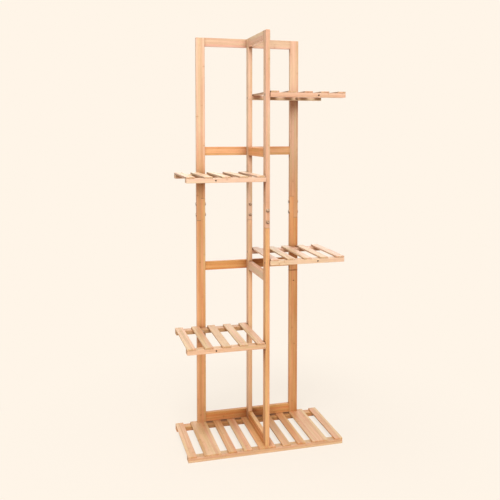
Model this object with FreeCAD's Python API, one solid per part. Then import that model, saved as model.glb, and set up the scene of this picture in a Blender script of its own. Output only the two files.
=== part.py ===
import FreeCAD, Part
import os
from FreeCAD import Vector

os.makedirs("parts", exist_ok=True)

# Tiered bamboo plant stand. Millimetres. +X is to the right seen from the front, +Y is to the back,
# +Z is up. The origin is on the floor, under the middle of the base shelf.

# Whole stand
stand_width = 480.0         # base shelf, side to side
stand_depth = 236.0         # base shelf, front to back
stand_height = 1253.5       # floor to the top of both frames

# Frames
frame_thickness = 13.0      # stock thickness of every upright and rail
rear_frame_inset = 70.0     # end of the base shelf to the outer face of a rear upright
rear_upright_width = 28.0   # rear upright, side to side
centre_upright_depth = 26.0  # centre upright, front to back
centre_frame_setback = 4.0  # base front edge to the face of the front centre upright
rail_height = 27.0          # top rail and the two middle rails
bottom_rail_height = 29.0   # rail that stands on the base slats
lower_rail_z = 515.0        # underside of the lower middle rail
upper_rail_z = 883.0        # underside of the upper middle rail
frame_ease = 1.2            # rounding of the frame edges

# Half-lap splices that join the upper and lower halves of each upright
lap_centre_z = 711.0
lap_length = 70.0
lap_end_gap = 0.8           # gap at the shoulder of a tongue
lap_face_gap = 0.1          # gap between the two tongues
splice_bolt_pitch = 34.0    # between the two bolts of a splice

# Tenons of the rails
tenon_thickness = 5.0
tenon_shoulder = 6.0        # above and below the tenon
rear_tenon_length = 10.0
tenon_clearance = 0.1       # round the tenon in its mortise
mortise_end_gap = 0.5       # beyond the end of the tenon
wood_behind_mortise = 1.0   # between a centre mortise and the tip of a frame screw

# Shelves
slat_width = 25.0
slat_thickness = 5.0
slat_ease = 0.9
bearer_width = 25.0         # every bearer, front to back
bearer_height = 13.0
bearer_ease = 1.2
half_bearer_length = 235.0  # from the side of the centre frame outwards
half_slat_count = 5
inner_slat_inset = 2.0      # side of the centre frame to the first slat
lowest_shelf_z = 317.0      # underside of the lowest half shelf
shelf_pitch = 247.5         # from one half shelf to the next
base_slat_count = 2         # single slats between the middle pair and each outer pair

# Splice bolts and their sleeve nuts
bolt_radius = 3.0
bolt_length = 21.0
bolt_head_radius = 5.5
bolt_head_height = 2.4
hex_socket_flats = 4.0      # across flats
hex_socket_depth = 1.8
sleeve_radius = 4.0
sleeve_length = 12.0
nut_flange_radius = 5.5
nut_flange_height = 1.8
crown_inset = 1.5           # rim of a domed head to its flat top
rim_height = 1.0            # straight side of a domed head
thread_clearance = 0.05     # bolt in its nut, screw in its pilot hole
bolt_clearance = 0.2        # bolt in a timber hole
sleeve_clearance = 0.1      # sleeve in a timber hole

# Wood screws
screw_radius = 2.0
screw_length = 30.0         # countersunk screws, over the head
screw_head_radius = 4.0
screw_head_height = 2.4
screw_tip_length = 4.0
screw_tip_radius = 0.3
back_screw_length = 35.0    # round-headed screws, under the head
back_screw_head_radius = 4.4
back_screw_head_height = 2.2
shelf_hole_radius = 2.5     # hole across every half-shelf bearer
cross_slot_width = 0.9
cross_slot_length = 4.0
cross_slot_depth = 1.1

# Pins that hold the slats
pin_radius = 0.7
pin_clearance = 0.05
pin_set = 1.0               # depth of the pin head under the bearer
pin_top_skin = 1.5          # slat left above the pin
pin_inset = 6.5             # from the face of the bearer to the pin

# Pilot hole left open on the right upright
spare_pilot_z = 464.0
spare_pilot_radius = 1.8
spare_pilot_depth = 8.0

same_place = 1e-6           # points nearer than this are one point
cutter_overrun = 1.0        # how far a cutter stands out of the face it enters

# Places worked out from the sizes above
left, right = -1, 1
front_y = -stand_depth / 2
back_y = stand_depth / 2
rear_face_y = back_y - frame_thickness              # front face of the rear frame
centre_face_y = front_y + centre_frame_setback      # front face of the front centre upright
centre_side_x = frame_thickness / 2                 # side face of the centre frame
base_top_z = bearer_height + slat_thickness
rear_frame_width = stand_width - 2 * rear_frame_inset   # over the outer faces of the uprights
rear_upright_x = (rear_frame_width - rear_upright_width) / 2
lap_low_z = lap_centre_z - lap_length / 2
lap_high_z = lap_centre_z + lap_length / 2
rails = (
    ("top_rail", stand_height - rail_height, rail_height),
    ("upper_rail", upper_rail_z, rail_height),
    ("lower_rail", lower_rail_z, rail_height),
    ("bottom_rail", base_top_z, bottom_rail_height),
)
screw_reach = screw_length - frame_thickness        # depth of a frame screw in the centre upright
centre_tenon_length = centre_upright_depth - screw_reach - wood_behind_mortise - mortise_end_gap
half_shelves = (
    ("lower_left", left, lowest_shelf_z),
    ("middle_right", right, lowest_shelf_z + shelf_pitch),
    ("upper_left", left, lowest_shelf_z + 2 * shelf_pitch),
    ("top_right", right, lowest_shelf_z + 3 * shelf_pitch),
)

pieces = {}     # node name to its solids, before the holes are cut
mortises = []   # cutters for the tenons
holes = []      # cutters for the fasteners
fasteners = {
    "splice_bolts": [],
    "splice_nuts": [],
    "countersunk_screws": [],
    "shelf_back_screws": [],
    "slat_pins": [],
}


def box(low, high):
    size = [b - a for a, b in zip(low, high)]
    return Part.makeBox(size[0], size[1], size[2], Vector(*low))


def bar(low, high, along, ease, soft_ends=()):
    """Straight stock along axis 0, 1 or 2, with rounded long edges and, where asked, rounded ends."""
    blank = box(low, high)
    chosen = []
    for edge in blank.Edges:
        first, last = [vertex.Point for vertex in edge.Vertexes]
        runs_along = abs(first[along] - last[along]) > same_place
        at_soft_end = any(abs(first[along] - end) < same_place for end in soft_ends)
        if runs_along or at_soft_end:
            chosen.append(edge)
    return blank.makeFillet(ease, chosen)


def turned(profile, start, direction):
    """Solid turned from (distance along the axis, radius) points, laid along a direction."""
    points = [Vector(radius, 0, distance) for distance, radius in profile]
    points = [Vector(0, 0, profile[0][0])] + points + [Vector(0, 0, profile[-1][0])]
    outline = [point for i, point in enumerate(points) if i == 0 or point != points[i - 1]]
    face = Part.Face(Part.makePolygon(outline + [outline[0]]))
    solid = face.revolve(Vector(0, 0, 0), Vector(0, 0, 1), 360)
    turn = FreeCAD.Rotation(Vector(0, 0, 1), Vector(*direction))
    solid.Placement = FreeCAD.Placement(Vector(*start), turn)
    return solid


def along_from(start, direction, distance):
    return tuple(s + d * distance for s, d in zip(start, direction))


def domed_head(radius, height):
    """Profile of a domed head, from its top down to the face that it bears on."""
    return [(-height, radius - crown_inset), (-rim_height, radius), (0, radius)]


def hole(start, direction, profile):
    """Add a round hole that starts in a face, from (depth, radius) points."""
    holes.append(turned([(-cutter_overrun, profile[0][1])] + profile, start, direction))


def cross_slot(start, direction):
    """Cross recess, sunk into a head from its top."""
    half_length = cross_slot_length / 2
    half_width = cross_slot_width / 2
    arms = [
        box((-half_length, -half_width, 0), (half_length, half_width, cross_slot_depth)),
        box((-half_width, -half_length, 0), (half_width, half_length, cross_slot_depth)),
    ]
    cross = arms[0].fuse(arms[1])
    turn = FreeCAD.Rotation(Vector(0, 0, 1), Vector(*direction))
    cross.Placement = FreeCAD.Placement(Vector(*start), turn)
    return cross


def add_splice_bolt(start, direction, timber):
    """Round-headed socket bolt with its head at start, and a sleeve nut let in from the far face."""
    head_top = along_from(start, direction, -bolt_head_height)
    shank = [(0, bolt_radius), (bolt_length, bolt_radius)]
    bolt = turned(domed_head(bolt_head_radius, bolt_head_height) + shank, start, direction)
    socket_radius = hex_socket_flats / 3 ** 0.5
    corners = [Vector(socket_radius, 0, 0)]
    turn_60 = FreeCAD.Rotation(Vector(0, 0, 1), 60)
    for _ in range(6):
        corners.append(turn_60.multVec(corners[-1]))
    socket = Part.Face(Part.makePolygon(corners[:6] + [corners[0]]))
    socket = socket.extrude(Vector(0, 0, hex_socket_depth))
    socket.Placement = FreeCAD.Placement(
        Vector(*head_top), FreeCAD.Rotation(Vector(0, 0, 1), Vector(*direction)))
    fasteners["splice_bolts"].append(bolt.cut(socket))

    far_face = along_from(start, direction, timber)
    back = tuple(-d for d in direction)
    bore_radius = bolt_radius + thread_clearance
    sleeve = [(0, sleeve_radius), (sleeve_length, sleeve_radius)]
    nut = turned(domed_head(nut_flange_radius, nut_flange_height) + sleeve, far_face, back)
    bore = turned([(0, bore_radius), (sleeve_length + cutter_overrun, bore_radius)], far_face, back)
    fasteners["splice_nuts"].append(nut.cut(bore))

    hole(start, direction, [(0, bolt_radius + bolt_clearance), (timber, bolt_radius + bolt_clearance)])
    seat_radius = sleeve_radius + sleeve_clearance
    hole(far_face, back, [(0, seat_radius), (sleeve_length + sleeve_clearance, seat_radius)])


def add_countersunk_screw(start, direction):
    """Wood screw with its flat head level with the face at start."""
    shank_end = screw_length - screw_tip_length
    screw = turned(
        [(0, screw_head_radius), (screw_head_height, screw_radius), (shank_end, screw_radius),
         (screw_length, screw_tip_radius)],
        start, direction)
    fasteners["countersunk_screws"].append(screw.cut(cross_slot(start, direction)))
    wider = thread_clearance
    hole(start, direction,
         [(0, screw_head_radius + wider), (screw_head_height, screw_radius + wider),
          (shank_end, screw_radius + wider), (screw_length + wider, screw_tip_radius + wider)])


def add_back_screw(start, direction):
    """Round-headed screw through the hole of a rear bearer into the rear upright."""
    shank_end = back_screw_length - screw_tip_length
    shank = [(0, screw_radius), (shank_end, screw_radius), (back_screw_length, screw_tip_radius)]
    screw = turned(domed_head(back_screw_head_radius, back_screw_head_height) + shank, start, direction)
    head_top = along_from(start, direction, -back_screw_head_height)
    fasteners["shelf_back_screws"].append(screw.cut(cross_slot(head_top, direction)))
    wider = thread_clearance
    hole(start, direction,
         [(0, shelf_hole_radius), (bearer_width, shelf_hole_radius),
          (bearer_width, screw_radius + wider), (shank_end, screw_radius + wider),
          (back_screw_length + wider, screw_tip_radius + wider)])


def add_pin(x, y, bearer_z):
    """Headless pin driven up through a bearer into the slat that lies on it."""
    low = bearer_z + pin_set
    high = bearer_z + bearer_height + slat_thickness - pin_top_skin
    fasteners["slat_pins"].append(turned([(0, pin_radius), (high - low, pin_radius)],
                                         (x, y, low), (0, 0, 1)))
    hole_radius = pin_radius + pin_clearance
    hole((x, y, bearer_z), (0, 0, 1), [(0, hole_radius), (high - bearer_z + pin_clearance, hole_radius)])


def upright_halves(name, low, high, lap_axis, upper_side):
    """Upright cut in two by a half lap. The upper tongue is on upper_side of the middle, along lap_axis."""
    middle = (low[lap_axis] + high[lap_axis]) / 2
    half_gap = lap_face_gap / 2
    upper = bar((low[0], low[1], lap_low_z), high, 2, frame_ease, (high[2],))
    lower = bar(low, (high[0], high[1], lap_high_z - lap_end_gap), 2, frame_ease)

    def beside(side, bottom, top):
        start = [low[0] - cutter_overrun, low[1] - cutter_overrun, bottom]
        end = [high[0] + cutter_overrun, high[1] + cutter_overrun, top]
        if side > 0:
            start[lap_axis] = middle - half_gap
        else:
            end[lap_axis] = middle + half_gap
        return box(start, end)

    pieces[name + "_upper_upright"] = [
        upper.cut(beside(-upper_side, lap_low_z - cutter_overrun, lap_high_z))]
    pieces[name + "_lower_upright"] = [
        lower.cut(beside(upper_side, lap_low_z - lap_end_gap, lap_high_z))]


def mortise(low, high, along):
    """Cutter for the tenon between low and high, which runs along axis 0 or 1."""
    spread = [tenon_clearance] * 3
    spread[along] = mortise_end_gap
    return box([a - s for a, s in zip(low, spread)], [b + s for b, s in zip(high, spread)])


def rail(name, low, high, along, tenon_length):
    """Rail between two uprights, with a tenon at each end and the mortises that take them."""
    cross = 1 - along
    middle = (low[cross] + high[cross]) / 2
    start = [0, 0, low[2] + tenon_shoulder]
    end = [0, 0, high[2] - tenon_shoulder]
    start[cross] = middle - tenon_thickness / 2
    end[cross] = middle + tenon_thickness / 2
    start[along] = low[along] - tenon_length
    end[along] = high[along] + tenon_length
    tongue = box(start, end)
    pieces[name] = [bar(low, high, along, frame_ease).fuse(tongue).removeSplitter()]
    mortises.append(mortise(start, end, along))


def rear_frame():
    half_width = rear_frame_width / 2
    inner_x = half_width - rear_upright_width
    for side, name in ((left, "rear_left"), (right, "rear_right")):
        near, far = sorted((side * inner_x, side * half_width))
        upright_halves(name, (near, rear_face_y, base_top_z), (far, back_y, stand_height), 0, side)
        for step in (-0.5, 0.5):
            bolt_z = lap_centre_z + step * splice_bolt_pitch
            bolt_y = (rear_face_y + back_y) / 2
            add_splice_bolt((side * inner_x, bolt_y, bolt_z), (side, 0, 0), rear_upright_width)
    for name, bottom, height in rails:
        rail("rear_" + name, (-inner_x, rear_face_y, bottom), (inner_x, back_y, bottom + height),
             0, rear_tenon_length)


def centre_frame():
    front_back_y = centre_face_y + centre_upright_depth
    rear_front_y = rear_face_y - centre_upright_depth
    for name, near, far in (("centre_front", centre_face_y, front_back_y),
                            ("centre_rear", rear_front_y, rear_face_y)):
        upright_halves(name, (-centre_side_x, near, base_top_z), (centre_side_x, far, stand_height), 1, -1)
        for step in (-0.5, 0.5):
            bolt_z = lap_centre_z + step * splice_bolt_pitch
            add_splice_bolt((0, near, bolt_z), (0, 1, 0), centre_upright_depth)
    for name, bottom, height in rails:
        rail("centre_" + name, (-centre_side_x, front_back_y, bottom),
             (centre_side_x, rear_front_y, bottom + height), 1, centre_tenon_length)
        # The centre frame is screwed on from behind, through the rails of the rear frame.
        add_countersunk_screw((0, back_y, bottom + height / 2), (0, -1, 0))


def half_shelf(name, side, bottom):
    """Two bearers with slats across them, on one side of the centre frame."""
    inner = centre_side_x
    outer = centre_side_x + half_bearer_length
    top = bottom + bearer_height
    hole_z = bottom + bearer_height / 2

    def spread(near, far):
        return sorted((side * near, side * far))

    low_x, high_x = spread(inner, outer)
    bearers = (
        ("front_bearer", front_y, centre_face_y, front_y + bearer_width),
        ("rear_bearer", rear_face_y - bearer_width, rear_face_y - bearer_width, rear_face_y),
    )
    for part, near_y, seat_y, far_y in bearers:
        pieces[name + "_" + part] = [
            bar((low_x, near_y, bottom), (high_x, far_y, top), 0, bearer_ease, (side * outer,))]
        # End screw, from the other side of the centre upright into the end of the bearer.
        add_countersunk_screw((-side * centre_side_x, (seat_y + far_y) / 2, hole_z), (side, 0, 0))
    hole_start = (side * rear_upright_x, rear_face_y - bearer_width, hole_z)
    add_back_screw(hole_start, (0, 1, 0))
    # The front bearer is the same part turned round, so its hole stays open.
    through = bearer_width + cutter_overrun
    hole((side * rear_upright_x, front_y, hole_z), (0, 1, 0),
         [(0, shelf_hole_radius), (through, shelf_hole_radius)])

    slat_step = (half_bearer_length - inner_slat_inset - slat_width) / (half_slat_count - 1)
    for number in range(half_slat_count):
        near_x = inner + inner_slat_inset + number * slat_step
        low_x, high_x = spread(near_x, near_x + slat_width)
        pieces["%s_slat_%d" % (name, number + 1)] = [
            bar((low_x, front_y, top), (high_x, rear_face_y, top + slat_thickness), 1, slat_ease,
                (front_y, rear_face_y))]
        for pin_y in (front_y + pin_inset, rear_face_y - pin_inset):
            add_pin((low_x + high_x) / 2, pin_y, bottom)


def base_slats(node, first_x, count):
    """Slats side by side across the base bearers, with their pins."""
    slats = []
    for number in range(count):
        x = first_x + number * slat_width
        slats.append(bar((x, front_y, bearer_height), (x + slat_width, back_y, base_top_z),
                         1, slat_ease, (front_y, back_y)))
        from_face = bearer_width - pin_inset
        for pin_y in (front_y + from_face, back_y - from_face):
            add_pin(x + slat_width / 2, pin_y, 0)
    pieces[node] = slats


def base_shelf():
    """Full-width shelf that stands on the floor. Its paired slats lie under the frames."""
    half_width = stand_width / 2
    for part, near_y in (("base_front_bearer", front_y), ("base_rear_bearer", back_y - bearer_width)):
        pieces[part] = [
            bar((-half_width, near_y, 0), (half_width, near_y + bearer_width, bearer_height),
                0, bearer_ease, (-half_width, half_width))]
    # The middle pair is under the centre frame. The inner edges of the outer pairs line up with the
    # inner faces of the rear uprights, and the single slats between them are evenly spaced.
    pair_x = rear_frame_width / 2 - rear_upright_width
    gap = (pair_x - (base_slat_count + 1) * slat_width) / (base_slat_count + 1)
    base_slats("base_slat_pair_centre", -slat_width, 2)
    for side, name in ((left, "left"), (right, "right")):
        slots = [("%s_%d" % (name, number), number * (slat_width + gap), 1)
                 for number in range(1, base_slat_count + 1)]
        slots += [("pair_" + name, pair_x, 2), (name + "_end", half_width - slat_width, 1)]
        for part, near_x, count in slots:
            first_x = near_x if side > 0 else -near_x - count * slat_width
            base_slats("base_slat_" + part, first_x, count)
    # Screws from under the base into the feet of the two rear uprights and the front centre upright.
    for side in (left, right):
        add_countersunk_screw((side * rear_upright_x, (rear_face_y + back_y) / 2, 0), (0, 0, 1))
    seat_y = (centre_face_y + front_y + bearer_width) / 2
    add_countersunk_screw((0, seat_y, 0), (0, 0, 1))


def drilled(solid, own_name):
    """A timber piece less every hole and mortise that reaches it."""
    reach = solid.BoundBox
    cutters = [cutter for cutter in holes if cutter.BoundBox.intersect(reach)]
    if own_name.endswith("upright"):
        cutters += [cutter for cutter in mortises if cutter.BoundBox.intersect(reach)]
    return solid.cut(cutters) if cutters else solid


rear_frame()
centre_frame()
for shelf in half_shelves:
    half_shelf(*shelf)
base_shelf()
hole((rear_upright_x, rear_face_y, spare_pilot_z), (0, 1, 0),
     [(0, spare_pilot_radius), (spare_pilot_depth, spare_pilot_radius)])

for name, solids in pieces.items():
    finished = [drilled(solid, name) for solid in solids]
    flat = [part for shape in finished for part in shape.Solids]
    shape = flat[0] if len(flat) == 1 else Part.makeCompound(flat)
    shape.exportStep("parts/%s.step" % name)
for name, solids in fasteners.items():
    flat = [part for shape in solids for part in shape.Solids]
    Part.makeCompound(flat).exportStep("parts/%s.step" % name)
print("nodes", len(pieces) + len(fasteners))
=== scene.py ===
import math

import bmesh
import bpy
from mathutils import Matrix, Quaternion, Vector


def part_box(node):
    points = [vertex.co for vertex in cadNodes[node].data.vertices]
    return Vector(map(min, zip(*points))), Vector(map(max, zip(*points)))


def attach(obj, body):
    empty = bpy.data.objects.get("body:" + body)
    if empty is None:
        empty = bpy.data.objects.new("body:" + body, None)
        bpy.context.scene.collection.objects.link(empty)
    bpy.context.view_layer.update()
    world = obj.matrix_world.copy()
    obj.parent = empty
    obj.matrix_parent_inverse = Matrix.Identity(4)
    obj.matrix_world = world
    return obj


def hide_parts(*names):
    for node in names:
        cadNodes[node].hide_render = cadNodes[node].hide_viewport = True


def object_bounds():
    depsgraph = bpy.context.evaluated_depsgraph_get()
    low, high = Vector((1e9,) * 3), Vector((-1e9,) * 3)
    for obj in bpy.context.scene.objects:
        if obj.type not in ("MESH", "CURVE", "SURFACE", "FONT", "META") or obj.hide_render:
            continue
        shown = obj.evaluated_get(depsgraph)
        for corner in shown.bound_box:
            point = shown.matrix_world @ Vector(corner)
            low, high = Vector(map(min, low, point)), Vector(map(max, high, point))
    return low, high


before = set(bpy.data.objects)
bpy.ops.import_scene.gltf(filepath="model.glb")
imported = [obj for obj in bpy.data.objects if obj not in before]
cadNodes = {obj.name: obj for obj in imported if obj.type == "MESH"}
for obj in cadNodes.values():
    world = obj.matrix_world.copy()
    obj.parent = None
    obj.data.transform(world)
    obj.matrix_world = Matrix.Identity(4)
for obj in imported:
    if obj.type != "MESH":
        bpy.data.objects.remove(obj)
cadLow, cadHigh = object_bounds()
print("frame loaded:", len(cadNodes), "pieces")


# small helpers for shader trees

def addNode(tree, kind, **settings):
    made = tree.nodes.new(kind)
    for name, value in settings.items():
        setattr(made, name, value)
    return made


def feed(tree, socket, value):
    if isinstance(value, bpy.types.NodeSocket):
        tree.links.new(value, socket)
    else:
        socket.default_value = value


def calc(tree, operation, *values):
    made = addNode(tree, "ShaderNodeMath", operation=operation)
    for socket, value in zip(made.inputs, values):
        feed(tree, socket, value)
    return made.outputs[0]


def split(tree, vector):
    made = addNode(tree, "ShaderNodeSeparateXYZ")
    feed(tree, made.inputs[0], vector)
    return list(made.outputs)


def combine(tree, *parts):
    made = addNode(tree, "ShaderNodeCombineXYZ")
    for socket, value in zip(made.inputs, parts):
        feed(tree, socket, value)
    return made.outputs[0]


def fade(tree, value, start, end, low=0.0, high=1.0):
    # goes smoothly from low at start to high at end
    made = addNode(tree, "ShaderNodeMapRange", interpolation_type="SMOOTHSTEP")
    for socket, number in zip(made.inputs, (value, start, end, low, high)):
        feed(tree, socket, number)
    return made.outputs[0]


def noise(tree, place, look):
    # the scale has a number for each axis
    scaled = addNode(tree, "ShaderNodeVectorMath", operation="MULTIPLY")
    feed(tree, scaled.inputs[0], place)
    scaled.inputs[1].default_value = look["scale"]
    made = addNode(tree, "ShaderNodeTexNoise")
    feed(tree, made.inputs["Vector"], scaled.outputs[0])
    made.inputs["Scale"].default_value = 1.0
    made.inputs["Detail"].default_value = look["detail"]
    made.inputs["Roughness"].default_value = look["roughness"]
    return made.outputs[0]


def mixColor(tree, amount, first, second, mode="MIX"):
    made = addNode(tree, "ShaderNodeMix", data_type="RGBA", blend_type=mode)
    feed(tree, made.inputs[0], amount)
    feed(tree, made.inputs[6], first)
    feed(tree, made.inputs[7], second)
    return made.outputs[2]


def linear(red, green, blue):
    # a colour as picked on screen, 0 to 255, as Blender's linear colour
    parts = [channel / 255 for channel in (red, green, blue)]
    return [p / 12.92 if p < 0.04045 else ((p + 0.055) / 1.055) ** 2.4 for p in parts] + [1.0]


def emptyMaterial(name):
    material = bpy.data.materials.new(name)
    material.use_nodes = True
    material.node_tree.nodes.clear()
    return material, material.node_tree


def dress(piece, material):
    piece.data.materials.clear()
    piece.data.materials.append(material)


# bamboo stock: narrow strips in one or two plies, each with its culm nodes at its own heights
# scales are per mm along the grain, across the width and across the thickness
# a fade shows nothing at its first number and all at its second

bambooGrain = {
    "streaks": {"scale": (0.006, 0.33, 0.33), "detail": 3, "roughness": 0.6},
    "fibres": {"scale": (0.03, 1.9, 1.9), "detail": 4, "roughness": 0.65},
    "pores": {"scale": (0.055, 3.1, 3.1), "detail": 1, "roughness": 0.5},
    "patches": {"scale": (0.006, 0.03, 0.03), "detail": 1.5, "roughness": 0.5},
    "hues": {"scale": (0.009, 0.09, 0.09), "detail": 1.5, "roughness": 0.5},
    "endDots": {"scale": (0.02, 2.6, 2.6), "detail": 1, "roughness": 0.5},
    "worn": {"scale": (0.04, 0.2, 0.2), "detail": 2, "roughness": 0.5},
    "pieceStep": (31.7, 17.3, 11.9),    # mm that the grain moves from piece to piece
    "stripStep": (900, 40, 40),         # mm at most, from strip to strip
    "boardStep": 10,                    # more than the strips in one board
    "poreFade": (0.58, 0.70),
    "endDotFade": (0.52, 0.62),
    "wornFade": (0.38, 0.62),
    "nodeSpacing": 250.0,               # mm
    "nodeWaver": 3.0,                   # mm
    "nodeWeight": (0.1, 0.9, 0.25, 1.0),
    "nodeLineFade": (1.6, 0.2),         # mm from the middle of the node
    "nodeBandFade": (10.0, 1.0),
    "darkNodeFade": (2.8, 1.0),
    "glueFade": (0.3, 0.05),            # mm from where the strips meet
    "glueFaceFade": (0.4, 0.9),         # mm from the outer face
    "edgeFade": (1.1, 0.2),             # mm from the edge
    "edgeWear": 0.5,
    "cutEndFade": (0.7, 0.9),           # by how squarely the surface faces that way
    "paintedSideShadeFade": (0.5, 0.9),
    "paintedJointShadeFade": (20.0, 0.0),           # mm from the end
    "lowEndFade": (0.62, 0.05),         # as a share of the length
    "paintedShadeSamples": 12,
    "paintedShadeReach": 0.11,               # metres
    "paintedShadeTilt": (0, 0, 0.8),         # the painted shade counts cover from above more than from below
    "hiddenFade": (0.83, 0.35),         # by the share of the view that is open
    # painted shade deep in cracks, holes and tight corners
    "paintedCrackShadeFade": (0.14, 0.02),
    "middleTone": 0.5,
    "toneSwings": {"streaks": 1.5, "fibres": 0.7, "shade": 0.6, "patches": 1.0},
    "hueSpread": 7.31,
    "hueSwing": 2.0,
    "pinkTint": (1.03, 0.95, 0.97, 1),
    "yellowTint": (0.97, 1.03, 0.93, 1),
    "layers": {     # how strongly each mask shows, and its tint
        "pores": (0.4, (0.66, 0.52, 0.42, 1)),
        "nodeBand": (0.4, (0.86, 0.76, 0.66, 1)),
        "nodeLine": (0.55, (0.56, 0.42, 0.32, 1)),
        "darkNode": (0.9, (0.44, 0.31, 0.20, 1)),
        "glue": (0.45, (0.72, 0.60, 0.50, 1)),
        "cutEnd": (0.9, (0.92, 0.83, 0.76, 1)),
        "endPores": (0.6, (0.66, 0.52, 0.42, 1)),
        # painted shade on the sides of the slats
        "paintedSideShade": (1.0, (0.54, 0.48, 0.44, 1)),
        # painted shade on the rails near their ends, where they meet the uprights
        "paintedJointShade": (1.0, (0.74, 0.58, 0.46, 1)),
        # darker towards the lower end, partly own colour and partly painted shade
        "lowEnd": (1.0, (0.86, 0.69, 0.48, 1)),
        # painted shade under pieces close above
        "paintedShade": (1.0, (0.43, 0.33, 0.27, 1)),
        # painted shade deep in cracks, holes and tight corners
        "paintedCrackShade": (1.0, (0.30, 0.20, 0.14, 1)),
    },
    "plainRoughness": 0.33,
    "addedRoughness": {
        "fibres": 0.22,
        "pores": 0.1,
        "wear": 0.15,
        "cutEnd": 0.2,
        "nodeLine": 0.1,
        "hidden": 0.5,
    },
    "relief": {     # mm
        "fibres": 0.03,
        "streaks": 0.05,
        "pores": -0.04,
        "glue": -0.05,
        "nodeLine": -0.06,
        "endPores": -0.08,
    },
}


def keptInside(tree, value, size, margin=0.02):
    above = calc(tree, "MAXIMUM", value, margin)
    return calc(tree, "MINIMUM", above, calc(tree, "SUBTRACT", size, margin))


def gapToFaces(tree, value, size):
    return calc(tree, "MINIMUM", value, calc(tree, "SUBTRACT", size, value))


def glueLine(tree, partAt, partSize, faceGap, look):
    # a thin line where two strips meet, but not along an outer face
    fromMiddle = calc(tree, "ABSOLUTE", calc(tree, "SUBTRACT", calc(tree, "FRACT", partAt), 0.5))
    away = calc(tree, "MULTIPLY", calc(tree, "SUBTRACT", 0.5, fromMiddle), partSize)
    line = fade(tree, away, *look["glueFade"])
    return calc(tree, "MULTIPLY", line, fade(tree, faceGap, *look["glueFaceFade"]))


def shifted(tree, vector, by, amounts):
    made = addNode(tree, "ShaderNodeVectorMath", operation="MULTIPLY_ADD")
    feed(tree, made.inputs[0], by)
    made.inputs[1].default_value = amounts
    feed(tree, made.inputs[2], vector)
    return made.outputs[0]


def summed(tree, start, masks, amounts):
    # the start and each mask times its amount
    total = start
    for name, amount in amounts.items():
        total = calc(tree, "MULTIPLY_ADD", masks[name], amount, total)
    return total


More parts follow.
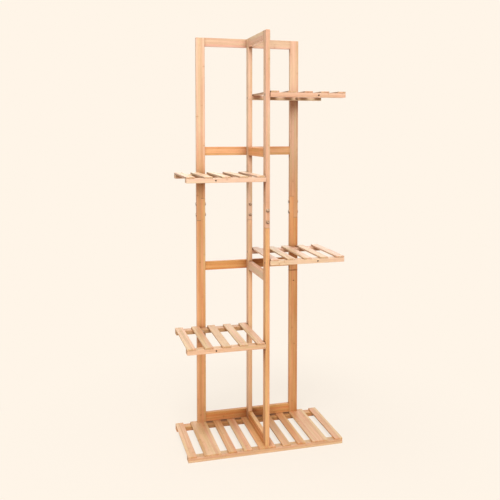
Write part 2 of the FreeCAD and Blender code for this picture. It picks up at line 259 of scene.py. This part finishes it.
def bambooGroup(look):
    tree = bpy.data.node_groups.new("strip bamboo", "ShaderNodeTree")
    sizes = ("Board", "Strip", "Ply")
    shades = ("Side Shade", "Joint Shade", "Low Shade", "Painted Shade")
    wanted = {
        "Vector": ("Grain", "Facing", "Size"),
        "Float": (*sizes, "Seed", *shades, "Dark Node"),
        "Color": ("Light", "Dark"),
    }
    for kind, names in wanted.items():
        for name in names:
            tree.interface.new_socket(name, in_out="INPUT", socket_type="NodeSocket" + kind)
    for name, kind in (("Color", "Color"), ("Roughness", "Float"), ("Height", "Float")):
        tree.interface.new_socket(name, in_out="OUTPUT", socket_type="NodeSocket" + kind)
    given = addNode(tree, "NodeGroupInput").outputs
    result = addNode(tree, "NodeGroupOutput").inputs
    along, wide, thin = split(tree, given["Grain"])
    length, width, thickness = split(tree, given["Size"])
    endOn, sideOn = split(tree, given["Facing"])[:2]

    # which board, strip and ply this is
    inside = keptInside(tree, wide, width)
    board = calc(tree, "FLOOR", calc(tree, "DIVIDE", inside, given["Board"]))
    inBoard = calc(tree, "SUBTRACT", inside, calc(tree, "MULTIPLY", board, given["Board"]))
    stripAt = calc(tree, "DIVIDE", inBoard, given["Strip"])
    plyAt = calc(tree, "DIVIDE", keptInside(tree, thin, thickness), given["Ply"])
    strip = calc(tree, "MULTIPLY_ADD", board, look["boardStep"], calc(tree, "FLOOR", stripAt))
    dice = addNode(tree, "ShaderNodeTexWhiteNoise", noise_dimensions="3D")
    feed(tree, dice.inputs["Vector"], combine(tree, strip, calc(tree, "FLOOR", plyAt), given["Seed"]))
    shade, start, strength = split(tree, dice.outputs["Color"])

    # distances to the outer faces and to the nearest edge
    sideGap = gapToFaces(tree, inBoard, given["Board"])
    faceGap = gapToFaces(tree, thin, thickness)
    endGap = gapToFaces(tree, along, length)
    nearer = calc(tree, "MINIMUM", sideGap, faceGap)
    farther = calc(tree, "MAXIMUM", sideGap, faceGap)
    edge = calc(tree, "MAXIMUM", nearer, calc(tree, "MINIMUM", farther, endGap))

    # the grain, moved for each piece and again for each strip
    seeds = combine(tree, given["Seed"], given["Seed"], given["Seed"])
    place = shifted(tree, given["Grain"], seeds, look["pieceStep"])
    stripPlace = shifted(tree, place, dice.outputs["Color"], look["stripStep"])
    patches = noise(tree, place, look["patches"])
    hues = noise(tree, stripPlace, look["hues"])
    streaks = noise(tree, stripPlace, look["streaks"])
    fibres = noise(tree, stripPlace, look["fibres"])
    pores = fade(tree, noise(tree, stripPlace, look["pores"]), *look["poreFade"])
    endDots = fade(tree, noise(tree, place, look["endDots"]), *look["endDotFade"])
    worn = fade(tree, noise(tree, place, look["worn"]), *look["wornFade"])

    # culm nodes, a thin dark line in a wider soft band
    wavy = calc(tree, "MULTIPLY", calc(tree, "SUBTRACT", fibres, 0.5), look["nodeWaver"])
    spot = calc(tree, "MULTIPLY_ADD", start, look["nodeSpacing"], calc(tree, "ADD", along, wavy))
    within = calc(tree, "FLOORED_MODULO", spot, look["nodeSpacing"])
    fromNode = calc(tree, "ABSOLUTE", calc(tree, "SUBTRACT", within, look["nodeSpacing"] / 2))
    weight = fade(tree, strength, *look["nodeWeight"])
    fromDarkNode = calc(tree, "ABSOLUTE", calc(tree, "SUBTRACT", along, given["Dark Node"]))

    # painted shade where a piece close above would shade this one, found by an occlusion test tilted
    # upwards
    upwards = addNode(tree, "ShaderNodeVectorMath", operation="ADD")
    feed(tree, upwards.inputs[0], addNode(tree, "ShaderNodeNewGeometry").outputs["Normal"])
    upwards.inputs[1].default_value = look["paintedShadeTilt"]
    tilted = addNode(tree, "ShaderNodeVectorMath", operation="NORMALIZE")
    feed(tree, tilted.inputs[0], upwards.outputs[0])
    openness = addNode(tree, "ShaderNodeAmbientOcclusion", samples=look["paintedShadeSamples"])
    openness.inputs["Distance"].default_value = look["paintedShadeReach"]
    feed(tree, openness.inputs["Normal"], tilted.outputs[0])
    hidden = fade(tree, openness.outputs["AO"], *look["hiddenFade"])

    stripGlue = glueLine(tree, stripAt, given["Strip"], sideGap, look)
    plyGlue = glueLine(tree, plyAt, given["Ply"], faceGap, look)
    cutEnd = fade(tree, endOn, *look["cutEndFade"])
    # painted shade on the sides of the slats
    paintedSideShade = fade(tree, sideOn, *look["paintedSideShadeFade"])
    paintedJointShade = fade(tree, endGap, *look["paintedJointShadeFade"])
    # darker towards the lower end, partly own colour and partly painted shade
    lowEnd = fade(tree, calc(tree, "DIVIDE", along, length), *look["lowEndFade"])
    masks = {
        "streaks": streaks,
        "fibres": fibres,
        "shade": shade,
        "patches": patches,
        "pores": pores,
        "nodeBand": calc(tree, "MULTIPLY", fade(tree, fromNode, *look["nodeBandFade"]), weight),
        "nodeLine": calc(tree, "MULTIPLY", fade(tree, fromNode, *look["nodeLineFade"]), weight),
        "darkNode": fade(tree, fromDarkNode, *look["darkNodeFade"]),
        "glue": calc(tree, "MAXIMUM", stripGlue, plyGlue),
        "wear": calc(tree, "MULTIPLY", fade(tree, edge, *look["edgeFade"]), worn),
        "cutEnd": cutEnd,
        "endPores": calc(tree, "MULTIPLY", cutEnd, endDots),
        "paintedSideShade": calc(tree, "MULTIPLY", paintedSideShade, given["Side Shade"]),
        "paintedJointShade": calc(tree, "MULTIPLY", paintedJointShade, given["Joint Shade"]),
        "lowEnd": calc(tree, "MULTIPLY", lowEnd, given["Low Shade"]),
        "hidden": hidden,
        "paintedShade": calc(tree, "MULTIPLY", hidden, given["Painted Shade"]),
        "paintedCrackShade": fade(tree, openness.outputs["AO"], *look["paintedCrackShadeFade"]),
    }

    tone = look["middleTone"]
    for name, swing in look["toneSwings"].items():
        tone = calc(tree, "MULTIPLY_ADD", calc(tree, "SUBTRACT", masks[name], 0.5), swing, tone)
    color = mixColor(tree, fade(tree, tone, 0.0, 1.0), given["Dark"], given["Light"])
    ownHue = calc(tree, "FRACT", calc(tree, "MULTIPLY", shade, look["hueSpread"]))
    hue = calc(tree, "MULTIPLY_ADD", calc(tree, "SUBTRACT", hues, 0.5), look["hueSwing"], ownHue)
    tint = mixColor(tree, fade(tree, hue, 0.0, 1.0), look["pinkTint"], look["yellowTint"])
    color = mixColor(tree, 1.0, color, tint, "MULTIPLY")
    for name, (amount, tint) in look["layers"].items():
        covered = calc(tree, "MULTIPLY", masks[name], amount)
        color = mixColor(tree, covered, color, tint, "MULTIPLY")
    color = mixColor(tree, calc(tree, "MULTIPLY", masks["wear"], look["edgeWear"]), color, given["Light"])
    feed(tree, result["Color"], color)
    feed(tree, result["Roughness"], summed(tree, look["plainRoughness"], masks, look["addedRoughness"]))
    feed(tree, result["Height"], summed(tree, 0.0, masks, look["relief"]))
    return tree


stripBamboo = bambooGroup(bambooGrain)


def bambooMaterial(name, look):
    low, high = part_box(name)
    size = (high - low) * 1000      # mm
    order = sorted(range(3), key=lambda axis: -size[axis])      # along, wide, thin
    material, tree = emptyMaterial("bamboo " + name)
    coords = addNode(tree, "ShaderNodeTexCoord")
    inMillimetres = addNode(tree, "ShaderNodeMapping")
    feed(tree, inMillimetres.inputs["Vector"], coords.outputs["Object"])
    inMillimetres.inputs["Location"].default_value = low * -1000
    inMillimetres.inputs["Scale"].default_value = (1000, 1000, 1000)
    parts = split(tree, inMillimetres.outputs[0])
    facing = split(tree, coords.outputs["Normal"])
    board = size[order[1]] / look["boards"]
    light, dark = bambooTones[look["tone"]]
    values = {
        "Grain": combine(tree, *[parts[axis] for axis in order]),
        "Facing": combine(tree, *[calc(tree, "ABSOLUTE", facing[axis]) for axis in order]),
        "Size": [size[axis] for axis in order],
        "Board": board,
        "Strip": board / look["strips"],
        "Ply": size[order[2]] / look["plies"],
        "Seed": look["seed"],
        "Light": linear(*light),
        "Dark": linear(*dark),
        "Side Shade": look["sideShade"],
        "Joint Shade": look["jointShade"],
        "Low Shade": look["lowShade"],
        "Painted Shade": look["paintedShade"],
        "Dark Node": look["darkNode"],
    }
    group = addNode(tree, "ShaderNodeGroup", node_tree=stripBamboo)
    for key, value in values.items():
        feed(tree, group.inputs[key], value)
    bump = addNode(tree, "ShaderNodeBump")
    bump.inputs["Strength"].default_value = 1.0
    bump.inputs["Distance"].default_value = 0.001       # the relief is in mm
    feed(tree, bump.inputs["Height"], group.outputs["Height"])
    shader = addNode(tree, "ShaderNodeBsdfPrincipled")
    shader.inputs["IOR"].default_value = 1.48
    shader.inputs["Specular IOR Level"].default_value = 0.4
    shader.inputs["Coat Weight"].default_value = 0.08
    shader.inputs["Coat Roughness"].default_value = 0.3
    feed(tree, shader.inputs["Base Color"], group.outputs["Color"])
    feed(tree, shader.inputs["Roughness"], group.outputs["Roughness"])
    feed(tree, shader.inputs["Normal"], bump.outputs[0])
    surface = addNode(tree, "ShaderNodeOutputMaterial")
    feed(tree, surface.inputs["Surface"], shader.outputs[0])
    return material


bambooTones = {     # light and dark of each tone
    "cream": ((243, 214, 185), (227, 186, 149)),
    "peach": ((240, 205, 174), (221, 174, 139)),
    "rose": ((236, 196, 170), (218, 167, 140)),
    "wheat": ((236, 199, 160), (214, 167, 124)),
    "straw": ((227, 189, 146), (205, 155, 111)),
    "sand": ((244, 203, 159), (223, 168, 120)),
    "honey": ((239, 189, 138), (217, 153, 97)),
    "toffee": ((233, 176, 121), (209, 139, 81)),
    "amber": ((244, 184, 120), (222, 145, 77)),
}
# the lower members' darker, more orange tones are partly their own colour and partly painted shade
frameTones = {
    "rear_left_upper_upright": "peach",
    "rear_left_lower_upright": "honey",
    "rear_right_upper_upright": "peach",
    "rear_right_lower_upright": "toffee",
    "centre_front_upper_upright": "peach",
    "centre_front_lower_upright": "toffee",
    "centre_rear_upper_upright": "cream",
    "centre_rear_lower_upright": "sand",
    "rear_top_rail": "rose",
    "rear_upper_rail": "honey",
    "rear_lower_rail": "amber",
    "rear_bottom_rail": "amber",
    "centre_top_rail": "peach",
    "centre_upper_rail": "amber",
    "centre_lower_rail": "peach",
    "centre_bottom_rail": "amber",
}
# the lower shelves' darker tones are partly their own colour and partly painted shade
shelfTones = {
    "top_right": "peach",
    "upper_left": "cream",
    "middle_right": "cream",
    "lower_left": "wheat",
    "base": "sand",
}
otherTones = {      # pieces that differ from the rest of their shelf, the darker ones partly by their own colour and partly as painted shade
    "middle_right_front_bearer": "peach",
    "middle_right_rear_bearer": "peach",
    "lower_left_rear_bearer": "straw",
    "base_front_bearer": "wheat",
    "base_slat_left_2": "honey",
    "base_slat_pair_centre": "honey",
    "base_slat_right_2": "honey",
    "base_rear_bearer": "toffee",
}
lowShades = {       # how far an upright darkens towards its lower end, partly its own colour and partly painted shade
    "rear_left_upper_upright": 1.0,
    "rear_right_upper_upright": 0.9,
    "centre_front_upper_upright": 0.3,
}
paintedSideShades = {"top_right": 0.85, "upper_left": 0.7}      # how dark the painted shade on the sides of the upper shelves' slats is
darkNodes = {"rear_right_lower_upright": 481.0}         # mm up from the lower end, straight across


def shelfOf(name):
    return next((shelf for shelf in shelfTones if name.startswith(shelf + "_")), None)


for count, name in enumerate(sorted(cadNodes)):
    shelf = shelfOf(name)
    if name not in frameTones and not shelf:
        continue
    slat = "slat" in name
    look = {
        "tone": frameTones[name] if name in frameTones else otherTones.get(name, shelfTones[shelf]),
        "seed": count + 1,
        "boards": 2 if "_pair_" in name else 1,
        "strips": 3 if slat else 4,
        "plies": 1 if slat else 2,
        "sideShade": paintedSideShades.get(shelf, 0.0) if slat else 0.0,
        # painted shade near the ends of the rails
        "jointShade": 0.8 if name.endswith("_rail") else 0.0,
        "lowShade": lowShades.get(name, 0.0),
        # how strong the painted shade under pieces close above is
        "paintedShade": 0.3 if shelf == "base" else 1.0,
        "darkNode": darkNodes.get(name, -100.0),        # below the piece where it has none
    }
    dress(cadNodes[name], bambooMaterial(name, look))
print("bamboo finished")


# plated steel for the fasteners
steelLook = {
    "light": (232, 204, 178),
    "dark": (150, 112, 86),
    "cloud": {"scale": (260, 260, 260), "detail": 3, "roughness": 0.6},         # scale per metre
    "cloudFade": (0.35, 0.65),
    # painted shade on the faces that point down
    "paintedUnderShade": (88, 62, 44),
    "paintedUnderShadeFade": (0.15, -0.35, 0.0, 0.9),        # by how far up the surface faces
    "scratch": {"scale": (2600, 900, 2600), "detail": 2, "roughness": 0.6},
    "scratchDepth": 0.00004,
    "scratchRoughness": 0.25,
    "plainRoughness": 0.2,
}


def steelMaterial(look):
    material, tree = emptyMaterial("plated steel")
    coords = addNode(tree, "ShaderNodeTexCoord")
    cloud = noise(tree, coords.outputs["Object"], look["cloud"])
    scratch = noise(tree, coords.outputs["Object"], look["scratch"])
    clouded = fade(tree, cloud, *look["cloudFade"])
    shine = mixColor(tree, clouded, linear(*look["dark"]), linear(*look["light"]))
    # painted shade: the plating is darker where it faces down
    up = split(tree, coords.outputs["Normal"])[2]
    color = mixColor(tree, fade(tree, up, *look["paintedUnderShadeFade"]), shine, linear(*look["paintedUnderShade"]))
    rough = calc(tree, "MULTIPLY_ADD", scratch, look["scratchRoughness"], look["plainRoughness"])
    bump = addNode(tree, "ShaderNodeBump")
    bump.inputs["Distance"].default_value = look["scratchDepth"]
    feed(tree, bump.inputs["Height"], scratch)
    shader = addNode(tree, "ShaderNodeBsdfPrincipled")
    shader.inputs["Metallic"].default_value = 1.0
    feed(tree, shader.inputs["Base Color"], color)
    feed(tree, shader.inputs["Roughness"], rough)
    feed(tree, shader.inputs["Normal"], bump.outputs[0])
    surface = addNode(tree, "ShaderNodeOutputMaterial")
    feed(tree, surface.inputs["Surface"], shader.outputs[0])
    return material


steel = steelMaterial(steelLook)
dress(cadNodes["slat_pins"], steel)


# helpers for shaping a piece

def pickOnly(piece):
    bpy.ops.object.select_all(action="DESELECT")
    bpy.context.view_layer.objects.active = piece
    piece.select_set(True)


def startRod(name, radius, length, sides=48):
    # a rod with its lower end at the origin
    bpy.ops.object.select_all(action="DESELECT")
    middle = (0, 0, length / 2)
    bpy.ops.mesh.primitive_cylinder_add(vertices=sides, radius=radius, depth=length, location=middle)
    rod = bpy.context.object
    rod.name = name
    bpy.ops.object.transform_apply(location=True, rotation=True, scale=True)
    return rod


def pickCap(piece, height):
    # selects the flat face at this height, in edit mode
    bpy.ops.object.mode_set(mode="EDIT")
    bpy.ops.mesh.select_mode(type="FACE")
    bpy.ops.mesh.select_all(action="DESELECT")
    mesh = bmesh.from_edit_mesh(piece.data)
    for face in mesh.faces:
        level = abs(face.calc_center_median().z - height) < 1e-6
        face.select_set(level and abs(face.normal.z) > 0.99)
    bmesh.update_edit_mesh(piece.data)


def pushCap(distance, narrower=1.0):
    bpy.ops.mesh.extrude_region_move(TRANSFORM_OT_translate={"value": (0, 0, distance)})
    if narrower != 1.0:
        bpy.ops.transform.resize(value=(narrower, narrower, 1))


def addShank(piece, look):
    # a shank with a tapered tip, under a head whose underside is at the origin
    pickCap(piece, 0)
    bpy.ops.mesh.inset(thickness=look["headRadius"] - look["radius"])
    pushCap(look["tip"] - look["length"])
    pushCap(-look["tip"], look["tipRadius"] / look["radius"])
    bpy.ops.object.mode_set(mode="OBJECT")


def domeHead(piece, look):
    pickCap(piece, look["headHeight"])
    bpy.ops.mesh.bevel(offset=look["rounding"], segments=5, profile=0.6, affect="EDGES")
    bpy.ops.object.mode_set(mode="OBJECT")


def carve(piece, cutter):
    # takes the cutter's shape out of the piece
    modifier = piece.modifiers.new("cut", "BOOLEAN")
    modifier.operation = "DIFFERENCE"
    modifier.object = cutter
    pickOnly(piece)
    bpy.ops.object.modifier_apply(modifier=modifier.name)
    bpy.data.objects.remove(cutter)


def carveSlot(piece, length, width, look):
    # the cutter stands as far out of the head as it goes in
    top = (0, 0, look["headHeight"])
    bpy.ops.object.select_all(action="DESELECT")
    bpy.ops.mesh.primitive_cube_add(size=1, location=top, scale=(length, width, look["slotDepth"] * 2))
    carve(piece, bpy.context.object)


def carveCross(piece, look):
    carveSlot(piece, look["slotLength"], look["slotWidth"], look)
    carveSlot(piece, look["slotWidth"], look["slotLength"], look)


def finishSteel(piece):
    pickOnly(piece)
    bpy.ops.object.shade_smooth_by_angle(angle=math.radians(32))
    dress(piece, steel)


# socket bolts of the four splices, with a domed head and a hex socket
boltLook = {
    "headRadius": 0.0055,
    "headHeight": 0.0024,
    "rounding": 0.0020,
    "radius": 0.003,
    "length": 0.021,        # under the head
    "tip": 0.0008,
    "tipRadius": 0.0023,
    "socketFlats": 0.004,
    "socketDepth": 0.0018,
    "fromMiddle": 0.017,    # middle of the splice to each of its bolts
    "shoulderGap": 0.0008,  # the lower tongue stops this short of its shoulder
    "turnStep": 13,         # degrees from each copy to the next
}


def makeBolt(look):
    bolt = startRod("bolt", look["headRadius"], look["headHeight"])
    addShank(bolt, look)
    domeHead(bolt, look)
    socket = startRod("socket", look["socketFlats"] / math.sqrt(3), look["socketDepth"] * 2, sides=6)
    socket.location.z = look["headHeight"] - look["socketDepth"]
    carve(bolt, socket)
    finishSteel(bolt)
    return bolt


# sleeve nuts let in from the far side, with a slot for a driver
nutLook = {
    "headRadius": 0.0055,
    "headHeight": 0.0018,
    "rounding": 0.0011,
    "sleeveRadius": 0.004,
    "sleeveLength": 0.012,
    "boreRadius": 0.00305,
    "slotLength": 0.0165,   # across the whole head
    "slotWidth": 0.0012,
    "slotDepth": 0.0009,
    "turnStep": 37,
}


def makeNut(look):
    nut = startRod("nut", look["headRadius"], look["headHeight"])
    pickCap(nut, 0)
    bpy.ops.mesh.inset(thickness=look["headRadius"] - look["sleeveRadius"])
    pushCap(-look["sleeveLength"])
    bpy.ops.mesh.inset(thickness=look["sleeveRadius"] - look["boreRadius"])
    pushCap(look["sleeveLength"])
    bpy.ops.object.mode_set(mode="OBJECT")
    domeHead(nut, look)
    carveSlot(nut, look["slotLength"], look["slotWidth"], look)
    finishSteel(nut)
    return nut


# countersunk wood screws, flush with the face they go in by
screwLook = {
    "headRadius": 0.004,
    "headHeight": 0.0024,
    "radius": 0.002,
    "length": 0.030,        # with the head
    "tip": 0.004,
    "tipRadius": 0.0003,
    "slotLength": 0.004,
    "slotWidth": 0.0009,
    "slotDepth": 0.0011,
    "turnStep": 23,
}


def makeScrew(look):
    screw = startRod("screw", look["headRadius"], look["headHeight"])
    pickCap(screw, 0)
    narrower = look["radius"] / look["headRadius"]
    bpy.ops.transform.resize(value=(narrower, narrower, 1))
    pushCap(look["tip"] + look["headHeight"] - look["length"])
    pushCap(-look["tip"], look["tipRadius"] / look["radius"])
    bpy.ops.object.mode_set(mode="OBJECT")
    carveCross(screw, look)
    screw.location.z = -look["headHeight"]      # its face to the origin
    finishSteel(screw)
    bpy.ops.object.transform_apply(location=True, rotation=True, scale=True)
    return screw


# round-headed screws that hold the half shelves to the rear frame
backScrewLook = {
    "headRadius": 0.0044,
    "headHeight": 0.0022,
    "rounding": 0.0016,
    "radius": 0.002,
    "length": 0.035,        # under the head
    "tip": 0.004,
    "tipRadius": 0.0003,
    "slotLength": 0.004,
    "slotWidth": 0.0009,
    "slotDepth": 0.0011,
    "turnStep": 31,
}


def makeBackScrew(look):
    screw = startRod("back_screw", look["headRadius"], look["headHeight"])
    addShank(screw, look)
    domeHead(screw, look)
    carveCross(screw, look)
    finishSteel(screw)
    return screw


# where the fasteners go, from the pieces they hold

def overlapMiddle(first, second, axis):
    low = max(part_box(first)[0][axis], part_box(second)[0][axis])
    high = min(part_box(first)[1][axis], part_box(second)[1][axis])
    return (low + high) / 2


def halfway(name):
    low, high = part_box(name)
    return (low + high) / 2


def faceAt(name, axis, side):
    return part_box(name)[side > 0][axis]


boltPlaces = []
nutPlaces = []
for member in ("rear_left", "rear_right", "centre_front", "centre_rear"):
    upper = member + "_upper_upright"
    lower = member + "_lower_upright"
    splice = halfway(lower)
    splice.z = overlapMiddle(upper, lower, 2) + boltLook["shoulderGap"] / 2
    axis = 0 if member.startswith("rear") else 1
    inwards = 1 if member == "rear_left" else -1
    for step in (-1, 1):
        for places, side in ((boltPlaces, inwards), (nutPlaces, -inwards)):
            place = splice.copy()
            place.z += step * boltLook["fromMiddle"]
            place[axis] = faceAt(lower, axis, side)
            direction = Vector((0, 0, 0))
            direction[axis] = -side
            places.append((place, direction))

screwPlaces = []
for rail in ("top", "upper", "lower", "bottom"):
    place = halfway("rear_" + rail + "_rail")
    place.y = faceAt("rear_" + rail + "_rail", 1, 1)
    screwPlaces.append((place, Vector((0, -1, 0))))

backScrewPlaces = []
shelfSides = {"lower_left": -1, "middle_right": 1, "upper_left": -1, "top_right": 1}
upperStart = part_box("centre_front_upper_upright")[0].z
for shelf, side in shelfSides.items():
    rear = shelf + "_rear_bearer"
    height = halfway(rear).z
    half = "lower" if height < upperStart else "upper"
    for part in ("front", "rear"):
        upright = "centre_" + part + "_" + half + "_upright"
        y = overlapMiddle(shelf + "_" + part + "_bearer", upright, 1)
        screwPlaces.append((Vector((faceAt(upright, 0, -side), y, height)), Vector((side, 0, 0))))
    upright = halfway("rear_left_lower_upright" if side < 0 else "rear_right_lower_upright")
    backScrewPlaces.append((Vector((upright.x, faceAt(rear, 1, -1), height)), Vector((0, 1, 0))))

bearersUnder = {
    "rear_left_lower_upright": "base_rear_bearer",
    "rear_right_lower_upright": "base_rear_bearer",
    "centre_front_lower_upright": "base_front_bearer",
}
for upright, bearer in bearersUnder.items():
    place = Vector((halfway(upright).x, overlapMiddle(upright, bearer, 1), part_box(bearer)[0].z))
    screwPlaces.append((place, Vector((0, 0, 1))))


def placeCopies(model, places, node, look):
    # each copy's shank runs along its direction, and its drive is turned a little further
    for count, (place, direction) in enumerate(places):
        copy = bpy.data.objects.new(node + "_" + str(count + 1), model.data.copy())
        bpy.context.collection.objects.link(copy)
        spin = Quaternion((0, 0, 1), math.radians(look["turnStep"] * count))
        copy.rotation_mode = "QUATERNION"
        copy.rotation_quaternion = direction.to_track_quat("-Z", "Y") @ spin
        copy.location = place
        pickOnly(copy)
        bpy.ops.object.transform_apply(location=True, rotation=True, scale=True)
        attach(copy, "root")
        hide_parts(node)
    bpy.data.objects.remove(model)


placeCopies(makeBolt(boltLook), boltPlaces, "splice_bolts", boltLook)
placeCopies(makeNut(nutLook), nutPlaces, "splice_nuts", nutLook)
placeCopies(makeScrew(screwLook), screwPlaces, "countersunk_screws", screwLook)
placeCopies(makeBackScrew(backScrewLook), backScrewPlaces, "shelf_back_screws", backScrewLook)
print("fasteners finished")


# floor, backdrop, lamps and camera

studio = {
    "backdrop": (255, 245, 232),
    "floorSize": 40.0,
    "floorLit": 0.2,        # share of the floor's look that the lamps make, near the stand
    "litWithin": 0.25,
    "litUntil": 0.9,
    "ambient": 0.15,
}


def paleRays(tree):
    # 1 for the rays that should meet the plain backdrop
    seen = addNode(tree, "ShaderNodeLightPath").outputs
    direct = calc(tree, "MAXIMUM", seen["Is Camera Ray"], seen["Is Glossy Ray"])
    return calc(tree, "MAXIMUM", direct, seen["Is Transmission Ray"])


def makeFloor(look):
    bpy.ops.object.select_all(action="DESELECT")
    bpy.ops.mesh.primitive_plane_add(size=look["floorSize"], location=(0, 0, 0))
    floor = bpy.context.object
    floor.name = "floor"
    material, tree = emptyMaterial("pale floor")
    color = linear(*look["backdrop"])
    plain = addNode(tree, "ShaderNodeBsdfDiffuse")
    plain.inputs["Color"].default_value = color
    glow = addNode(tree, "ShaderNodeEmission")
    glow.inputs["Color"].default_value = color
    coords = addNode(tree, "ShaderNodeTexCoord")
    away = addNode(tree, "ShaderNodeVectorMath", operation="LENGTH")
    feed(tree, away.inputs[0], coords.outputs["Object"])
    unlit = 1 - look["floorLit"]
    glowing = fade(tree, away.outputs["Value"], look["litWithin"], look["litUntil"], unlit, 1.0)
    mixed = addNode(tree, "ShaderNodeMixShader")
    feed(tree, mixed.inputs[0], calc(tree, "MULTIPLY", paleRays(tree), glowing))
    feed(tree, mixed.inputs[1], plain.outputs[0])
    feed(tree, mixed.inputs[2], glow.outputs[0])
    surface = addNode(tree, "ShaderNodeOutputMaterial")
    feed(tree, surface.inputs["Surface"], mixed.outputs[0])
    dress(floor, material)


def makeWorld(look):
    world = bpy.data.worlds.new("studio")
    bpy.context.scene.world = world
    world.use_nodes = True
    tree = world.node_tree
    tree.nodes.clear()
    behind = addNode(tree, "ShaderNodeBackground")
    behind.inputs["Color"].default_value = linear(*look["backdrop"])
    ambient = addNode(tree, "ShaderNodeBackground")
    ambient.inputs["Color"].default_value = (1, 1, 1, 1)
    ambient.inputs["Strength"].default_value = look["ambient"]
    mixed = addNode(tree, "ShaderNodeMixShader")
    feed(tree, mixed.inputs[0], paleRays(tree))
    feed(tree, mixed.inputs[1], ambient.outputs[0])
    feed(tree, mixed.inputs[2], behind.outputs[0])
    output = addNode(tree, "ShaderNodeOutputWorld")
    feed(tree, output.inputs["Surface"], mixed.outputs[0])


lamps = (
    {"name": "key", "place": (-1.05, -2.55, 4.5), "size": 1.8, "watts": 165},
    {"name": "overhead", "place": (-0.4, 0.1, 4.6), "size": 2.0, "watts": 44},
    {"name": "front", "place": (-1.6, -5.2, 0.75), "size": 1.2, "watts": 72},
    {"name": "back", "place": (0.8, 3.2, 1.8), "size": 2.4, "watts": 20},
)


def makeLamp(look, target):
    data = bpy.data.lights.new(look["name"], "AREA")
    data.shape = "SQUARE"
    data.size = look["size"]
    data.energy = look["watts"]
    lamp = bpy.data.objects.new(look["name"] + "_lamp", data)
    bpy.context.collection.objects.link(lamp)
    lamp.location = look["place"]
    lamp.rotation_euler = (target - lamp.location).to_track_quat("-Z", "Y").to_euler()


photoCamera = {
    "place": (-0.5684, -1.9843, 0.9574),
    "tilt": 86.749,         # degrees, a little below level
    "turn": -15.371,        # degrees, to the right of straight ahead
    "lens": 48.25,
    "sensor": 36,
    "shift": -0.16,
}


def makeCamera(look):
    data = bpy.data.cameras.new("photo")
    data.lens = look["lens"]
    data.sensor_width = look["sensor"]
    data.shift_y = look["shift"]
    camera = bpy.data.objects.new("photo_camera", data)
    bpy.context.collection.objects.link(camera)
    camera.location = look["place"]
    camera.rotation_euler = (math.radians(look["tilt"]), 0, math.radians(look["turn"]))
    bpy.context.scene.camera = camera


makeFloor(studio)
makeWorld(studio)
for look in lamps:
    makeLamp(look, (cadLow + cadHigh) / 2)
makeCamera(photoCamera)
bpy.context.scene.view_settings.view_transform = "Standard"
print("studio set up")
